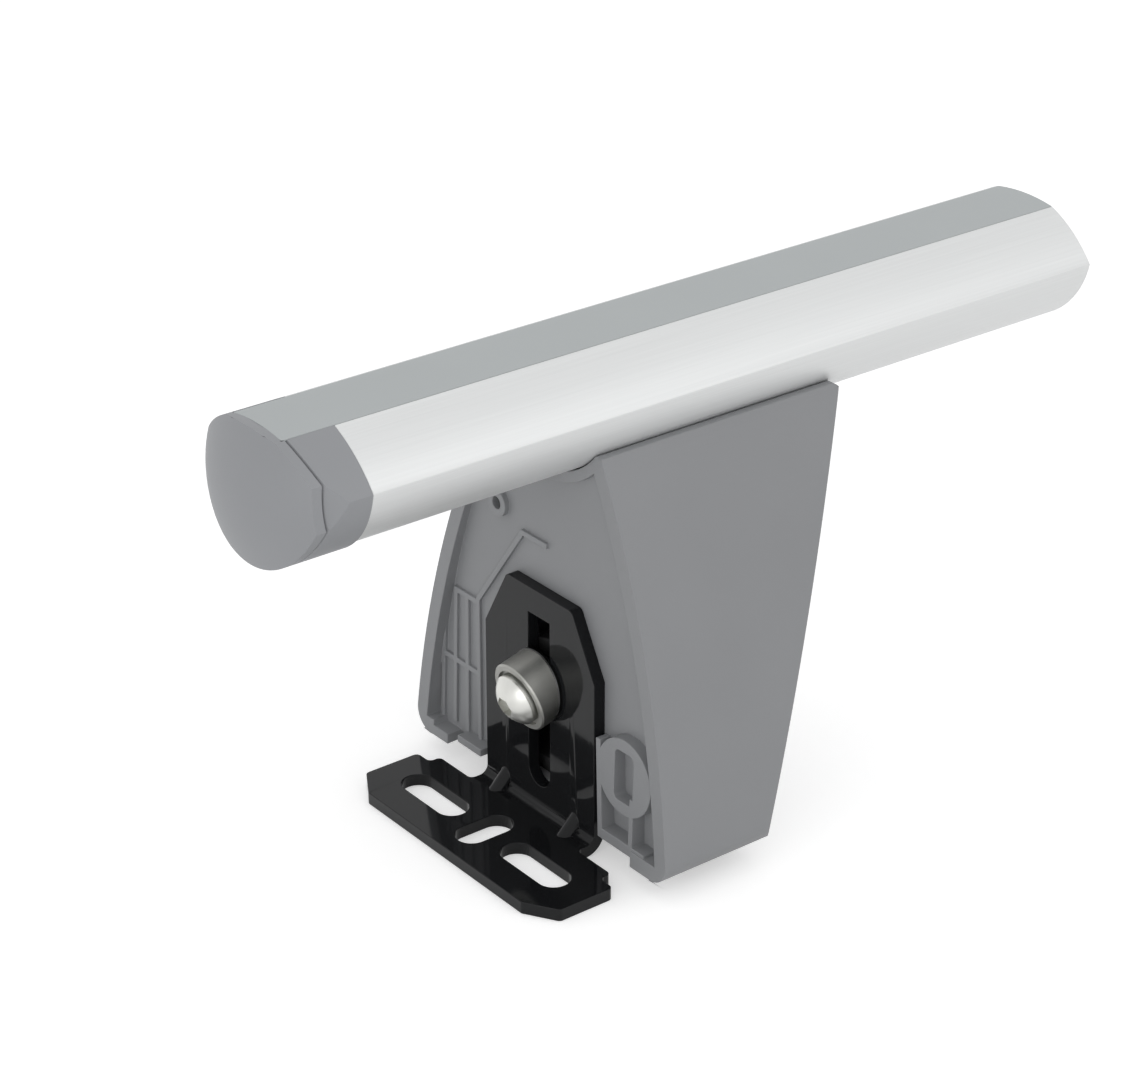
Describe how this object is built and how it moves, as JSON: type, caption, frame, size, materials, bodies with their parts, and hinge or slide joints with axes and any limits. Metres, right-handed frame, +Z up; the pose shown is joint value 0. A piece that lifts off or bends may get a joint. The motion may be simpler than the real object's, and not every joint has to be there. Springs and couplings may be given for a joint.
{
  "type": "roof bar foot",
  "caption": "Moulded tower foot that clamps the end of an aluminium roof bar and bolts to the roof of a vehicle through a folded, slotted bracket.",
  "frame": {"origin": "middle of the roof slots on the underside of the mounting bracket", "axes": "+X along the bar, towards the middle of the roof; +Y along the vehicle; +Z up"},
  "size_m": [0.2576, 0.1074, 0.1375],
  "materials": {
    "housing_plastic": "satin grey moulding",
    "cap_plastic": "satin grey moulding",
    "bar_aluminium": "satin anodised",
    "strip_rubber": "matt grey strip",
    "black_paint": "gloss black",
    "zinc_steel": "bright zinc",
    "pad_rubber": "matt black"
  },
  "bodies": {
    "foot": {"tower_housing": "housing_plastic", "saddle_pad": "pad_rubber", "foot_pad": "pad_rubber", "bolt_collar": "zinc_steel", "bolt_washer": "zinc_steel", "captive_nut": "zinc_steel", "t_bolt_outboard": "zinc_steel", "t_bolt_washer_outboard": "zinc_steel", "t_bolt_nut_outboard": "zinc_steel", "t_bolt_inboard": "zinc_steel", "t_bolt_washer_inboard": "zinc_steel", "t_bolt_nut_inboard": "zinc_steel"},
    "bracket": {"mounting_bracket": "black_paint"},
    "bolt": {"clamp_bolt": "zinc_steel"},
    "bar": {"bar_extrusion": "bar_aluminium", "top_strip": "strip_rubber", "end_cap": "cap_plastic"}
  },
  "joints": [
    {"name": "bracket_slide", "type": "slide", "parent": "foot", "child": "bracket", "axis": [0, 0, 1], "range_m": [-0.014, 0.005]},
    {"name": "bolt_turn", "type": "hinge", "parent": "foot", "child": "bolt", "pos_m": [0.0182, 0, 0.0405], "axis": [0.9659, 0, 0.2588], "continuous": true},
    {"name": "bar_slide", "type": "slide", "parent": "foot", "child": "bar", "axis": [1, 0, 0], "range_m": [-0.06, 0.06]}
  ]
}
